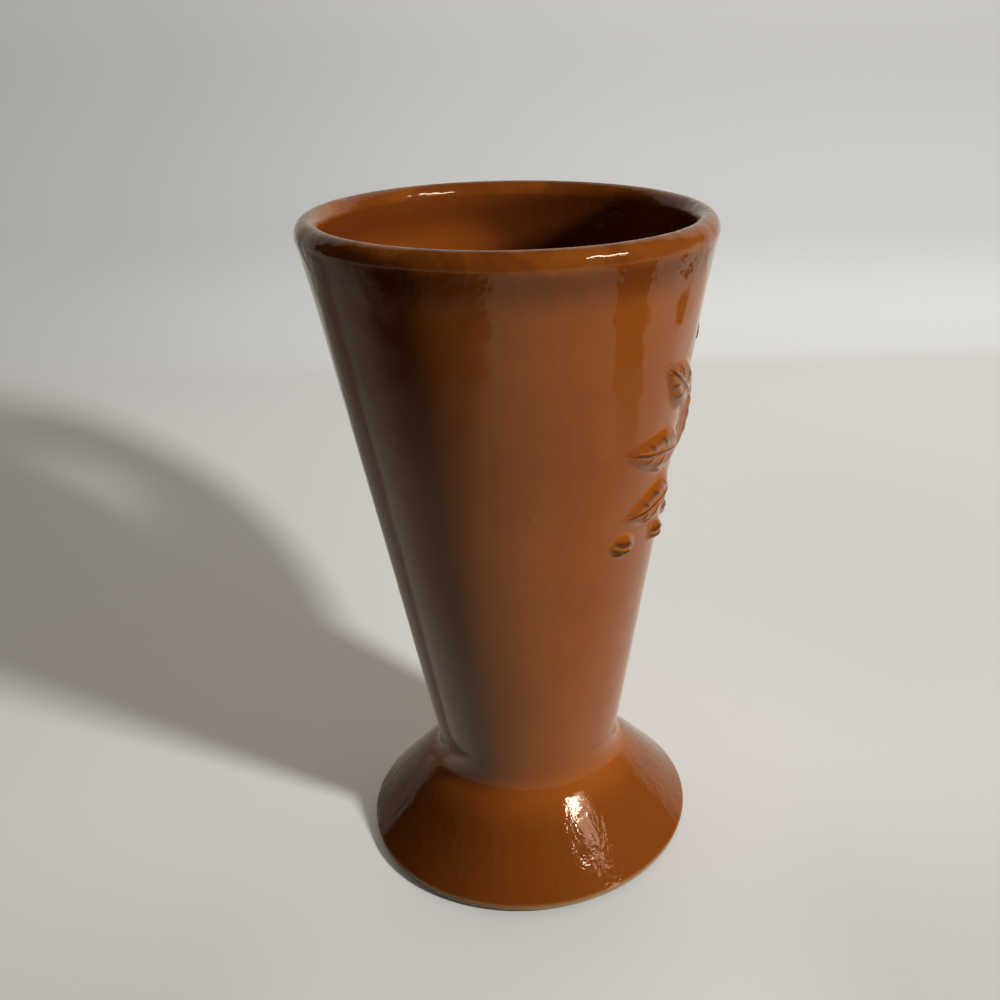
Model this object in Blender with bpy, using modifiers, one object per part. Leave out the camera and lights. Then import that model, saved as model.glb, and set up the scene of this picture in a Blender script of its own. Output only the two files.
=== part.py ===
"""Footed, cone-shaped hot-drink mug in glazed earthenware, as its separate clay pieces.

Metres, +Z up. The origin is the middle of the mug's bounding box, on the surface it stands on.
The handle points along +Y, the raised cocoa decoration faces +X and the plain front faces -Y.
"""
import bpy
import bmesh
from math import atan2, cos, exp, pi, radians, sin
from mathutils import Matrix, Vector

OBJECT_NAME = "cocoa_mug"

# Clearance between neighbouring pieces and how finely round shapes are divided
JOINT_GAP = 0.0003
TURN_STEPS = 72
ARC_POINTS = 7
LIP_ARC_POINTS = 13

# Cup: a straight cone with a rolled lip
MUG_HEIGHT = 0.150
RIM_RADIUS = 0.0427
LIP_THICKNESS = 0.0052
LIP_ROLL_HEIGHT = 0.0064
LIP_OVERHANG = 0.0008
LIP_DEPTH = 0.0053
WALL_THICKNESS = 0.0042
FLOOR_THICKNESS = 0.0060
FLOOR_CORNER_RADIUS = 0.0060

# Pedestal foot: a low flared cone, hollow underneath, that stands on a narrow ring
FOOT_HEIGHT = 0.0214
WAIST_RADIUS = 0.0214
FOOT_RADIUS = 0.0394
FOOT_EDGE_HEIGHT = 0.0019
FOOT_EDGE_INSET = 0.0015
FOOT_EDGE_POINTS = 5
FOOT_RING_WIDTH = 0.0052
FOOT_PLATE_THICKNESS = 0.0052
FOOT_RECESS_SLANT = 0.0105
FOOT_RECESS_CORNER = 0.0055
FOOT_RECESS_POINTS = 5

# Collar of slip that joins cup and foot
COLLAR_TOP_REACH = 0.0070
COLLAR_FOOT_REACH = 0.0030
COLLAR_TOP_WIDTH = 0.0022
COLLAR_SEAT_DEPTH = 0.0013

# Handle: an ear of flattened round section
HANDLE_TOP_Z = 0.1140
HANDLE_BOTTOM_Z = 0.0555
HANDLE_CROWN_Z = 0.0938
HANDLE_OUTER_REACH = 0.0776
HANDLE_THICKNESS = 0.0124
HANDLE_WIDTH = 0.0214
HANDLE_ROOT_RATIO = 1.24
HANDLE_TOP_SWEEP = 0.0435
HANDLE_TOP_RISE = 0.0098
HANDLE_CROWN_LIFT = 0.0225
HANDLE_CROWN_DROP = 0.0180
HANDLE_TAIL_SWEEP = 0.0220
HANDLE_BURY = 0.0120
HANDLE_SECTION_DIVISIONS = 4
HANDLE_RUN_DIVISIONS = 18
HANDLE_SMOOTH_ANGLE = radians(40)

# Slip that bonds the handle's two ends to the wall
HANDLE_SLIP_THICKNESS = 0.0012
HANDLE_SLIP_MARGIN = 0.0012

# Raised cocoa decoration, laid out on the unrolled wall around its own centre
RELIEF_AZIMUTH = 0.0
RELIEF_CENTRE_Z = 0.1040
POD_LENGTH = 0.0280
POD_WIDTH = 0.0150
POD_HEIGHT = 0.0021
POD_RISE = 0.0020
POD_RIDGES = 5
POD_RIDGE_SHARE = 0.12
POD_TAPER_SHARE = 0.18
POD_DIVISIONS = (30, 10)
STALK_LENGTH = 0.0070
STALK_WIDTH = 0.0030
STALK_HEIGHT = 0.0015
STALK_TILT = radians(66)
STALK_TAPER_SHARE = 0.25
STALK_DIVISIONS = (16, 6)
SPRIG_SPACING = 0.0012
SPRIG_SMOOTH_ANGLE = radians(50)
LEAF_WIDTH = 0.0112
LEAF_HEIGHT = 0.0015
LEAF_TAPER_SHARE = 0.35
LEAF_TIP_SHARE = 0.55
LEAF_RIB_SHARE = 0.35
LEAF_RIB_WIDTH_SHARE = 0.22
LEAF_DIVISIONS = (20, 8)
BEAN_LENGTH = 0.0092
BEAN_WIDTH = 0.0062
BEAN_HEIGHT = 0.0016
BEAN_CREASE_SHARE = 0.40
BEAN_CREASE_WIDTH_SHARE = 0.25
BEAN_DIVISIONS = (16, 8)
BEAN_COUNT = 5
BEAN_PITCH = 0.0138
BEAN_ROW_DROP = 0.0212
BEAN_ROW_SAG = 0.0020
BEAN_TILT = radians(24)

# Each leaf runs from its base to its tip, measured sideways and upwards from the relief's centre
LEAF_RUNS = {
    "upper": ((0.0088, 0.0080), (0.0275, 0.0205)),
    "middle": ((0.0098, -0.0010), (0.0345, 0.0030)),
    "lower": ((0.0090, -0.0098), (0.0300, -0.0132)),
}

# Glaze colours, linear, and how rough each is: cast pieces, slip and pressed relief
CAST_GLAZE = ((0.165, 0.046, 0.009), 0.12)
SLIP_GLAZE = ((0.150, 0.041, 0.008), 0.16)
RELIEF_GLAZE = ((0.180, 0.051, 0.010), 0.14)

# Sizes that follow from the ones above
LIP_TOP_RADIUS = RIM_RADIUS - LIP_THICKNESS / 2
LIP_CENTRE_Z = MUG_HEIGHT - LIP_ROLL_HEIGHT / 2
WALL_TOP_Z = MUG_HEIGHT - LIP_DEPTH
WALL_TOP_RADIUS = RIM_RADIUS - LIP_OVERHANG
WALL_SLOPE = (WALL_TOP_RADIUS - WAIST_RADIUS) / (WALL_TOP_Z - FOOT_HEIGHT)
WALL_ANGLE = atan2(WALL_TOP_RADIUS - WAIST_RADIUS, WALL_TOP_Z - FOOT_HEIGHT)
FOOT_SLOPE = (FOOT_EDGE_HEIGHT - FOOT_HEIGHT) / (FOOT_RADIUS - WAIST_RADIUS)
COLLAR_TOP_Z = FOOT_HEIGHT + COLLAR_TOP_REACH
COLLAR_FOOT_RADIUS = WAIST_RADIUS + COLLAR_FOOT_REACH
AXIS_Y = (RIM_RADIUS - HANDLE_OUTER_REACH) / 2


def wall_radius(z):
    """Outer radius of the cone at height z."""
    return WAIST_RADIUS + (z - FOOT_HEIGHT) * WALL_SLOPE


def foot_z(radius):
    """Height of the foot's flared top at a radius."""
    return FOOT_HEIGHT + (radius - WAIST_RADIUS) * FOOT_SLOPE


COLLAR_SEAT_Z = foot_z(COLLAR_FOOT_RADIUS) - COLLAR_SEAT_DEPTH
SPIGOT_RADIUS = wall_radius(COLLAR_TOP_Z) - COLLAR_TOP_WIDTH
CUP_BOTTOM_Z = COLLAR_SEAT_Z + JOINT_GAP
INNER_FLOOR_Z = CUP_BOTTOM_Z + FLOOR_THICKNESS


def inner_radius(z):
    """Radius of the inside of the cone at height z."""
    return wall_radius(z) - WALL_THICKNESS


def arc(centre, radii, start, end, count=ARC_POINTS):
    """Points (radius, z) along an elliptic arc between two angles in degrees."""
    points = []
    for i in range(count):
        angle = radians(start + (end - start) * i / (count - 1))
        points.append((centre[0] + radii[0] * cos(angle), centre[1] + radii[1] * sin(angle)))
    return points


def blend_curve(start, corner, end, count=ARC_POINTS):
    """Points along a quadratic curve that leaves start and reaches end towards a corner point."""
    points = []
    for i in range(count):
        t = i / (count - 1)
        a, b, c = (1 - t) ** 2, 2 * t * (1 - t), t * t
        points.append((a * start[0] + b * corner[0] + c * end[0], a * start[1] + b * corner[1] + c * end[1]))
    return points


def new_collection(name):
    collection = bpy.data.collections.new(name)
    bpy.context.scene.collection.children.link(collection)
    return collection


def clay_material(name, colour, roughness):
    material = bpy.data.materials.new(name)
    material.use_nodes = True
    shader = material.node_tree.nodes["Principled BSDF"]
    shader.inputs["Base Color"].default_value = (*colour, 1.0)
    shader.inputs["Roughness"].default_value = roughness
    shader.inputs["Metallic"].default_value = 0.0
    return material


def add_object(name, data, collection, axis=None):
    piece = bpy.data.objects.new(name, data)
    collection.objects.link(piece)
    piece.parent = axis
    return piece


def turned(name, profile, collection, axis):
    """A turned piece: the profile (radius, z) runs down its outer side and is spun about the axis."""
    mesh = bpy.data.meshes.new(name)
    edges = [(i, i + 1) for i in range(len(profile) - 1)]
    mesh.from_pydata([(radius, 0.0, z) for radius, z in profile], edges, [])
    piece = add_object(name, mesh, collection, axis)
    spin = piece.modifiers.new("Spin", "SCREW")
    spin.axis = "Z"
    spin.steps = TURN_STEPS
    spin.render_steps = TURN_STEPS
    spin.use_merge_vertices = True
    spin.merge_threshold = 0.00001
    spin.use_smooth_shade = True
    return piece


def cut_by(piece, tool, operation):
    """Cuts a piece with a tool, or keeps only what lies inside the tool."""
    boolean = piece.modifiers.new(operation.title(), "BOOLEAN")
    boolean.operation = operation
    boolean.object = tool
    boolean.solver = "EXACT"


def as_cutter(piece):
    piece.hide_render = True
    piece.display_type = "WIRE"
    return piece


# Cup body

def cup_body(parts, axis):
    """The cone with its rolled lip, its floor, and the short spigot that stands inside the collar."""
    roll = (LIP_THICKNESS / 2, LIP_ROLL_HEIGHT / 2)
    corner = (inner_radius(INNER_FLOOR_Z), INNER_FLOOR_Z)
    corner_top_z = INNER_FLOOR_Z + FLOOR_CORNER_RADIUS
    floor = blend_curve(
        (corner[0] - FLOOR_CORNER_RADIUS, INNER_FLOOR_Z), corner, (inner_radius(corner_top_z), corner_top_z)
    )
    lip = arc((LIP_TOP_RADIUS, LIP_CENTRE_Z), roll, 180, 0, LIP_ARC_POINTS)
    profile = [(0.0, INNER_FLOOR_Z)]
    profile += floor
    profile.append((inner_radius(WALL_TOP_Z), WALL_TOP_Z))
    profile += lip
    profile.append((WALL_TOP_RADIUS, WALL_TOP_Z))
    profile.append((wall_radius(COLLAR_TOP_Z), COLLAR_TOP_Z))
    profile.append((SPIGOT_RADIUS, COLLAR_TOP_Z))
    profile.append((SPIGOT_RADIUS, CUP_BOTTOM_Z))
    profile.append((0.0, CUP_BOTTOM_Z))
    return turned("cup_body", profile, parts, axis)


# Pedestal foot

def pedestal_foot(parts, axis):
    """The flared foot, with a flat seat on top for the cup and a hollow underneath."""
    seat_radius = COLLAR_FOOT_RADIUS + JOINT_GAP
    base_radius = FOOT_RADIUS - FOOT_EDGE_INSET
    recess_radius = base_radius - FOOT_RING_WIDTH
    recess_z = COLLAR_SEAT_Z - FOOT_PLATE_THICKNESS
    corner = (recess_radius - FOOT_RECESS_SLANT, recess_z)
    profile = [(0.0, COLLAR_SEAT_Z), (seat_radius, COLLAR_SEAT_Z), (seat_radius, foot_z(seat_radius))]
    profile += blend_curve(
        (FOOT_RADIUS, FOOT_EDGE_HEIGHT), (FOOT_RADIUS, 0.0), (base_radius, 0.0), FOOT_EDGE_POINTS
    )
    profile += blend_curve(
        (recess_radius, 0.0), corner, (corner[0] - FOOT_RECESS_CORNER, recess_z), FOOT_RECESS_POINTS
    )
    profile.append((0.0, recess_z))
    return turned("pedestal_foot", profile, parts, axis)


# Waist collar

def waist_collar(parts, axis):
    """The ring of slip around the spigot, whose outside blends the cone into the foot."""
    top = (wall_radius(COLLAR_TOP_Z), COLLAR_TOP_Z - JOINT_GAP)
    end = (COLLAR_FOOT_RADIUS, foot_z(COLLAR_FOOT_RADIUS))
    bore = SPIGOT_RADIUS + JOINT_GAP
    base_z = COLLAR_SEAT_Z + JOINT_GAP
    profile = [(bore, top[1])]
    profile += blend_curve(top, (WAIST_RADIUS, FOOT_HEIGHT), end)
    profile.append((COLLAR_FOOT_RADIUS, base_z))
    profile.append((bore, base_z))
    profile.append((bore, top[1]))
    return turned("waist_collar", profile, parts, axis)


# Handle and the slip under its two ends

def wall_band(name, inner_offset, outer_offset, low_z, high_z, tools, axis):
    """A closed ring that follows the wall between two distances from it; no inner distance fills it."""
    stretch = 1 / cos(WALL_ANGLE)
    outer = [(wall_radius(high_z) + outer_offset * stretch, high_z)]
    outer.append((wall_radius(low_z) + outer_offset * stretch, low_z))
    if inner_offset is None:
        profile = [(0.0, high_z)] + outer + [(0.0, low_z)]
    else:
        top = (wall_radius(high_z) + inner_offset * stretch, high_z)
        bottom = (wall_radius(low_z) + inner_offset * stretch, low_z)
        profile = [top] + outer + [bottom, top]
    return as_cutter(turned(name, profile, tools, axis))


def handle_tube(name, margin, collection, axis):
    """The handle's ear as a mesh, thicker all round by a margin, with both ends inside the wall."""
    curve = bpy.data.curves.new(name, "CURVE")
    curve.dimensions = "3D"
    curve.bevel_depth = HANDLE_THICKNESS / 2 + margin
    curve.bevel_resolution = HANDLE_SECTION_DIVISIONS
    curve.resolution_u = HANDLE_RUN_DIVISIONS
    curve.use_fill_caps = True
    top_root = Vector((0.0, wall_radius(HANDLE_TOP_Z) - HANDLE_BURY, HANDLE_TOP_Z))
    crown = Vector((0.0, HANDLE_OUTER_REACH - HANDLE_THICKNESS / 2, HANDLE_CROWN_Z))
    low_root = Vector((0.0, wall_radius(HANDLE_BOTTOM_Z) - HANDLE_BURY, HANDLE_BOTTOM_Z))
    top_sweep = Vector((0.0, HANDLE_TOP_SWEEP, HANDLE_TOP_RISE))
    tail_sweep = Vector((0.0, HANDLE_TAIL_SWEEP, 0.0))
    crown_lift = Vector((0.0, 0.0, HANDLE_CROWN_LIFT))
    crown_drop = Vector((0.0, 0.0, -HANDLE_CROWN_DROP))
    knots = (
        (top_root, -top_sweep, top_sweep, HANDLE_ROOT_RATIO),
        (crown, crown_lift, crown_drop, 1.0),
        (low_root, tail_sweep, -tail_sweep, HANDLE_ROOT_RATIO),
    )
    spline = curve.splines.new("BEZIER")
    spline.bezier_points.add(len(knots) - 1)
    for point, (place, before, after, swell) in zip(spline.bezier_points, knots):
        point.handle_left_type = "FREE"
        point.handle_right_type = "FREE"
        point.co = place
        point.handle_left = place + before
        point.handle_right = place + after
        point.radius = swell
    guide = add_object(name + "_curve", curve, collection)
    bpy.context.view_layer.update()
    mesh = bpy.data.meshes.new_from_object(guide.evaluated_get(bpy.context.evaluated_depsgraph_get()))
    bpy.data.objects.remove(guide)
    mesh.name = name
    mesh.transform(Matrix.Diagonal((HANDLE_WIDTH / HANDLE_THICKNESS, 1.0, 1.0, 1.0)))
    tidy = bmesh.new()
    tidy.from_mesh(mesh)
    bmesh.ops.remove_doubles(tidy, verts=tidy.verts, dist=0.00001)
    bmesh.ops.recalc_face_normals(tidy, faces=tidy.faces)
    tidy.to_mesh(mesh)
    tidy.free()
    mesh.shade_smooth()
    mesh.set_sharp_from_angle(angle=HANDLE_SMOOTH_ANGLE)
    return add_object(name, mesh, collection, axis)


def handle(parts, tools, axis):
    """The ear, cut off square to the wall where its slip begins."""
    piece = handle_tube("handle", 0.0, parts, axis)
    offset = HANDLE_SLIP_THICKNESS + 2 * JOINT_GAP
    solid = wall_band("handle_end_cutter", None, offset, COLLAR_TOP_Z, MUG_HEIGHT, tools, axis)
    cut_by(piece, solid, "DIFFERENCE")
    return piece


def handle_slip(name, low_z, high_z, parts, tools, axis):
    """The layer of slip between one end of the handle and the wall, squeezed out a little all round."""
    piece = handle_tube(name, HANDLE_SLIP_MARGIN, parts, axis)
    outer = JOINT_GAP + HANDLE_SLIP_THICKNESS
    band = wall_band(name + "_band", JOINT_GAP, outer, low_z, high_z, tools, axis)
    cut_by(piece, band, "INTERSECT")
    return piece


# Raised decoration

def on_wall(across, up, height):
    """Point above the wall, for a place given on the unrolled wall around the relief's centre."""
    z = RELIEF_CENTRE_Z + up * cos(WALL_ANGLE)
    angle = RELIEF_AZIMUTH + across / wall_radius(z)
    radius = wall_radius(z) + height * cos(WALL_ANGLE)
    return Vector((radius * cos(angle), radius * sin(angle), z - height * sin(WALL_ANGLE)))


def sprig(name, middle, size, tilt, shape, divisions, collection, axis):
    """A pressed sprig: a flat-backed dome, shaped along its length and wrapped onto the wall.

    shape(along, aside) gives the width's and the height's share, for along and aside from -1 to 1.
    """
    length, width, height = size
    segments, rings = divisions
    mesh = bpy.data.meshes.new(name)
    build = bmesh.new()
    bmesh.ops.create_uvsphere(build, u_segments=segments, v_segments=rings, radius=1.0)
    for vert in build.verts:
        along, aside, dome = vert.co
        spread, lift = shape(along, aside)
        local_x = along * length / 2
        local_y = aside * width / 2 * spread
        across = middle[0] + local_x * cos(tilt) - local_y * sin(tilt)
        up = middle[1] + local_x * sin(tilt) + local_y * cos(tilt)
        vert.co = on_wall(across, up, JOINT_GAP + max(dome, 0.0) * height * lift)
    build.to_mesh(mesh)
    build.free()
    mesh.shade_smooth()
    mesh.set_sharp_from_angle(angle=SPRIG_SMOOTH_ANGLE)
    return add_object(name, mesh, collection, axis)


def leaf_shape(along, aside):
    """Widest before its middle and pointed at its tip, with a valley along its rib."""
    spread = (1 - LEAF_TAPER_SHARE * along) * (1 - (1 - LEAF_TIP_SHARE) * along * along)
    return spread, 1 - LEAF_RIB_SHARE * exp(-((aside / LEAF_RIB_WIDTH_SHARE) ** 2))


def pod_shape(along, aside):
    """Fullest above its middle, narrower at its tip, with ridges from end to end."""
    ridges = cos(POD_RIDGES * pi * aside) * POD_RIDGE_SHARE
    return 1 + POD_TAPER_SHARE * along, 1 - POD_RIDGE_SHARE + ridges


def bean_shape(along, aside):
    """A plump oval with a crease along its middle."""
    crease = exp(-((aside / BEAN_CREASE_WIDTH_SHARE) ** 2)) * (1 - along * along)
    return 1.0, 1 - BEAN_CREASE_SHARE * crease


def stalk_shape(along, aside):
    """Slightly thicker at its cut end."""
    return 1 + STALK_TAPER_SHARE * along, 1.0


def leaf_sprigs(parts, axis):
    pieces = []
    for side_name, side in (("left", -1), ("right", 1)):
        for row, (base, tip) in LEAF_RUNS.items():
            start = Vector((side * base[0], base[1]))
            end = Vector((side * tip[0], tip[1]))
            run = end - start
            middle = (start + end) / 2
            tilt = atan2(run.y, run.x)
            name = f"leaf_relief_{side_name}_{row}"
            size = (run.length, LEAF_WIDTH, LEAF_HEIGHT)
            pieces.append(sprig(name, middle, size, tilt, leaf_shape, LEAF_DIVISIONS, parts, axis))
    return pieces


def pod_sprig(parts, axis):
    size = (POD_LENGTH, POD_WIDTH, POD_HEIGHT)
    return sprig("pod_relief", (0.0, POD_RISE), size, pi / 2, pod_shape, POD_DIVISIONS, parts, axis)


def stalk_sprig(parts, axis):
    """The pod's stalk, whose lower end stands just above the pod's top."""
    foot = POD_RISE + POD_LENGTH / 2 + SPRIG_SPACING
    middle = (STALK_LENGTH / 2 * cos(STALK_TILT), foot + STALK_LENGTH / 2 * sin(STALK_TILT))
    size = (STALK_LENGTH, STALK_WIDTH, STALK_HEIGHT)
    return sprig("stalk_relief", middle, size, STALK_TILT, stalk_shape, STALK_DIVISIONS, parts, axis)


def bean_sprigs(parts, axis):
    """A shallow arc of beans under the pod, each turned a little further than the last."""
    pieces = []
    size = (BEAN_LENGTH, BEAN_WIDTH, BEAN_HEIGHT)
    half = (BEAN_COUNT - 1) / 2
    for i in range(BEAN_COUNT):
        place = (i - half) / half
        middle = (place * half * BEAN_PITCH, -BEAN_ROW_DROP + BEAN_ROW_SAG * place * place)
        name = f"bean_relief_{i + 1}"
        tilt = BEAN_TILT * place
        pieces.append(sprig(name, middle, size, tilt, bean_shape, BEAN_DIVISIONS, parts, axis))
    return pieces


# Assembly

def build():
    for old in list(bpy.data.objects):
        bpy.data.objects.remove(old)
    parts = new_collection(OBJECT_NAME)
    tools = new_collection("cutters")
    axis = add_object("mug_axis", None, parts)
    axis.location = (0.0, AXIS_Y, 0.0)

    middle_z = (HANDLE_TOP_Z + HANDLE_BOTTOM_Z) / 2
    cast = [cup_body(parts, axis), pedestal_foot(parts, axis), handle(parts, tools, axis)]
    slips = [
        waist_collar(parts, axis),
        handle_slip("handle_top_slip", middle_z, MUG_HEIGHT, parts, tools, axis),
        handle_slip("handle_bottom_slip", COLLAR_TOP_Z, middle_z, parts, tools, axis),
    ]
    sprigs = [pod_sprig(parts, axis), stalk_sprig(parts, axis)]
    sprigs += leaf_sprigs(parts, axis)
    sprigs += bean_sprigs(parts, axis)

    groups = ((cast, "clay", CAST_GLAZE), (slips, "slip", SLIP_GLAZE), (sprigs, "relief", RELIEF_GLAZE))
    for pieces, kind, (colour, roughness) in groups:
        for piece in pieces:
            piece.data.materials.append(clay_material(f"{piece.name}_glazed_{kind}", colour, roughness))
    bpy.context.view_layer.update()


build()
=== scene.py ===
from math import atan, atan2, copysign, cos, exp, hypot, pi, radians, sin

import bpy
import numpy as np
from mathutils import Matrix, Vector


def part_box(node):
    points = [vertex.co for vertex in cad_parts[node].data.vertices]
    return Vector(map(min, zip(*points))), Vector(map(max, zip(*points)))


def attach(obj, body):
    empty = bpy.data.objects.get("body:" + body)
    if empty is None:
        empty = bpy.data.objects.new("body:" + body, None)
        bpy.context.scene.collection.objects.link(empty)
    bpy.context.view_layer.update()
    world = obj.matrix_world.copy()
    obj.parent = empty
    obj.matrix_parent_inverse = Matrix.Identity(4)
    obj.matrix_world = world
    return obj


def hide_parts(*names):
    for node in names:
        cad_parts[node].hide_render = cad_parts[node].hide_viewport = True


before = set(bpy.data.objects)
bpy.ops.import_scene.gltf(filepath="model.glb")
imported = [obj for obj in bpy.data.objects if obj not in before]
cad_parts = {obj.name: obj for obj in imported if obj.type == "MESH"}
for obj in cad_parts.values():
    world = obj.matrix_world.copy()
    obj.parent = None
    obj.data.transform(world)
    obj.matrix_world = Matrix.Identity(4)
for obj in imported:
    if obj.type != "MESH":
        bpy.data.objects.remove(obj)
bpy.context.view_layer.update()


# ---------------------------------------------------------------------------------------------
# Camera
# It stands a little above the rim and looks down at the mug's plain side, with the raised
# decoration just in sight on the right. Its distance and lens give the photograph's perspective.
# ---------------------------------------------------------------------------------------------
cup_low, cup_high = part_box("cup_body")
AXIS_Y = (cup_low.y + cup_high.y) / 2
CAMERA_DISTANCE = 0.22292
CAMERA_HEIGHT = 0.18741
CAMERA_DOWN = 0.4312
CAMERA_RIGHT = 0.0769
CAMERA_ROLL = 0.0050
CAMERA_LENS = 38.72
CAMERA_SHIFT = (-0.0953, 0.0004)

ahead = Vector((
    sin(CAMERA_RIGHT) * cos(CAMERA_DOWN), cos(CAMERA_RIGHT) * cos(CAMERA_DOWN), -sin(CAMERA_DOWN)
))
level = Vector((cos(CAMERA_RIGHT), -sin(CAMERA_RIGHT), 0.0))
down = ahead.cross(level)
image_right = cos(CAMERA_ROLL) * level + sin(CAMERA_ROLL) * down
image_down = cos(CAMERA_ROLL) * down - sin(CAMERA_ROLL) * level

camera_data = bpy.data.cameras.new("photo_camera")
camera_data.sensor_width = 36.0
camera_data.lens = CAMERA_LENS
camera_data.shift_x, camera_data.shift_y = CAMERA_SHIFT
camera_data.clip_start = 0.01
camera = bpy.data.objects.new("photo_camera", camera_data)
bpy.context.scene.collection.objects.link(camera)
camera.matrix_world = Matrix.Translation((0.0, AXIS_Y - CAMERA_DISTANCE, CAMERA_HEIGHT)) @ Matrix(
    (image_right, -image_down, -ahead)
).transposed().to_4x4()
bpy.context.scene.camera = camera
bpy.context.scene.view_settings.view_transform = "Standard"


# ---------------------------------------------------------------------------------------------
# Cup
# A straight cone of slip-cast earthenware with a rolled lip, coated inside and out with one
# brown, glossy glaze. Its short spigot stands inside the waist's ring of slip.
# ---------------------------------------------------------------------------------------------
TURN_POINTS = 240
RIM_RADIUS = (cup_high.x - cup_low.x) / 2
MUG_HEIGHT = cup_high.z
CUP_BOTTOM_Z = cup_low.z
LIP_THICKNESS = 0.0052
LIP_ROLL_HEIGHT = 0.0064
LIP_OVERHANG = 0.0008
LIP_DEPTH = 0.0053
LIP_NECK = 0.0160
LIP_UNDERCUT = -5
NECK_DROP = 0.0070
WALL_THICKNESS = 0.0042
FLOOR_THICKNESS = 0.0060
FLOOR_CORNER = 0.0060
FLOOR_CENTRE = 0.0010
FOOT_HEIGHT = 0.0214
WAIST_RADIUS = 0.0214
COLLAR_RISE = 0.0070
COLLAR_TOP_Z = FOOT_HEIGHT + COLLAR_RISE
SPIGOT_INSET = 0.0022

wall_top_z = MUG_HEIGHT - LIP_DEPTH
WALL_SLOPE = (RIM_RADIUS - LIP_OVERHANG - WAIST_RADIUS) / (wall_top_z - FOOT_HEIGHT)
WALL_ANGLE = atan(WALL_SLOPE)


def wall_radius(z):
    """Outer radius of the cone at height z."""
    return WAIST_RADIUS + (z - FOOT_HEIGHT) * WALL_SLOPE


def straight(start, end, count):
    """Profile points from start up to, but not including, end."""
    return [Vector(start).lerp(Vector(end), i / count) for i in range(count)]


def arc(centre, radii, start, end, count):
    """Profile points along an elliptic arc between two angles in degrees."""
    angles = [radians(start + (end - start) * i / count) for i in range(count + 1)]
    return [Vector((centre[0] + radii[0] * cos(a), centre[1] + radii[1] * sin(a))) for a in angles]


def bezier(a, b, c, d, t):
    """Point at a share t of a curve from a to d that heads for b and comes from c."""
    return (1 - t) ** 3 * a + 3 * t * (1 - t) ** 2 * b + 3 * t * t * (1 - t) * c + t ** 3 * d


def fillet(start, corner, end, count, tight=2 / 3):
    """Profile points along a bend round a corner; the tighter it is, the nearer it comes to it."""
    start, corner, end = Vector(start), Vector(corner), Vector(end)
    handles = start.lerp(corner, tight), end.lerp(corner, tight)
    return [bezier(start, *handles, end, i / count) for i in range(count + 1)]


def turned_rings(profile):
    """Rings of points round the mug's axis for a profile of (radius, z); radius 0 is one point."""
    rings = []
    for radius, z in profile:
        turns = [2 * pi * i / TURN_POINTS for i in range(TURN_POINTS)] if radius > 0 else [0.0]
        rings.append([Vector((radius * cos(a), AXIS_Y + radius * sin(a), z)) for a in turns])
    return rings


def skin(rings, joined=False):
    """Points and faces of a closed skin over rings; joined also bridges the last to the first."""
    points = [point for ring in rings for point in ring]
    starts = np.cumsum([0] + [len(ring) for ring in rings])
    faces = []
    pairs = [(k, k + 1) for k in range(len(rings) - 1)] + ([(len(rings) - 1, 0)] if joined else [])
    for a, b in pairs:
        size_a, size_b = len(rings[a]), len(rings[b])
        for i in range(max(size_a, size_b)):
            near = starts[a] + i % size_a, starts[a] + (i + 1) % size_a
            far = starts[b] + (i + 1) % size_b, starts[b] + i % size_b
            faces.append([int(corner) for corner in dict.fromkeys(near + far)])
    return points, faces


def glaze_depth(mesh, passes=6, reach=0.0026):
    """Stores how deep the glaze lies: it thins over edges, towards 0, and gathers in hollows."""
    count = len(mesh.vertices)
    places = np.zeros(count * 3)
    normals = np.zeros(count * 3)
    mesh.vertices.foreach_get("co", places)
    mesh.vertices.foreach_get("normal", normals)
    places, normals = places.reshape(-1, 3), normals.reshape(-1, 3)
    ends = np.zeros(len(mesh.edges) * 2, int)
    mesh.edges.foreach_get("vertices", ends)
    ends = ends.reshape(-1, 2)
    both = np.concatenate([ends, ends[:, ::-1]])
    span = places[both[:, 1]] - places[both[:, 0]]
    bend = -2 * (span * normals[both[:, 0]]).sum(1) / np.maximum((span * span).sum(1), 1e-12)
    sharp = np.zeros(len(mesh.edges), bool)
    mesh.attributes["sharp_edge"].data.foreach_get("value", sharp)
    hard = np.zeros(count, bool)
    hard[ends[sharp].ravel()] = True
    bend[hard[both[:, 0]] | hard[both[:, 1]]] = 0.0
    met = np.maximum(np.bincount(both[:, 0], minlength=count), 1)
    bend = np.bincount(both[:, 0], bend, count) / met
    for _ in range(passes):
        bend = (bend + np.bincount(both[:, 0], bend[both[:, 1]], count) / met) / 2
    stored = mesh.attributes.new("glaze_depth", "FLOAT", "POINT")
    stored.data.foreach_set("value", (0.5 - 0.5 * np.tanh(bend * reach)).astype(np.float32))


def fired(name, shape, material, node, sharp=50):
    """Makes one piece of the mug from its points and faces, and puts it in its CAD node's place."""
    points, faces = shape
    mesh = bpy.data.meshes.new(name)
    mesh.from_pydata(points, [], faces)
    mesh.validate()
    mesh.shade_smooth()
    mesh.set_sharp_from_angle(angle=radians(sharp))
    glaze_depth(mesh)
    mesh.materials.append(material)
    piece = bpy.data.objects.new(name, mesh)
    bpy.context.scene.collection.objects.link(piece)
    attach(piece, "root")
    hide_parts(node)


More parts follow.
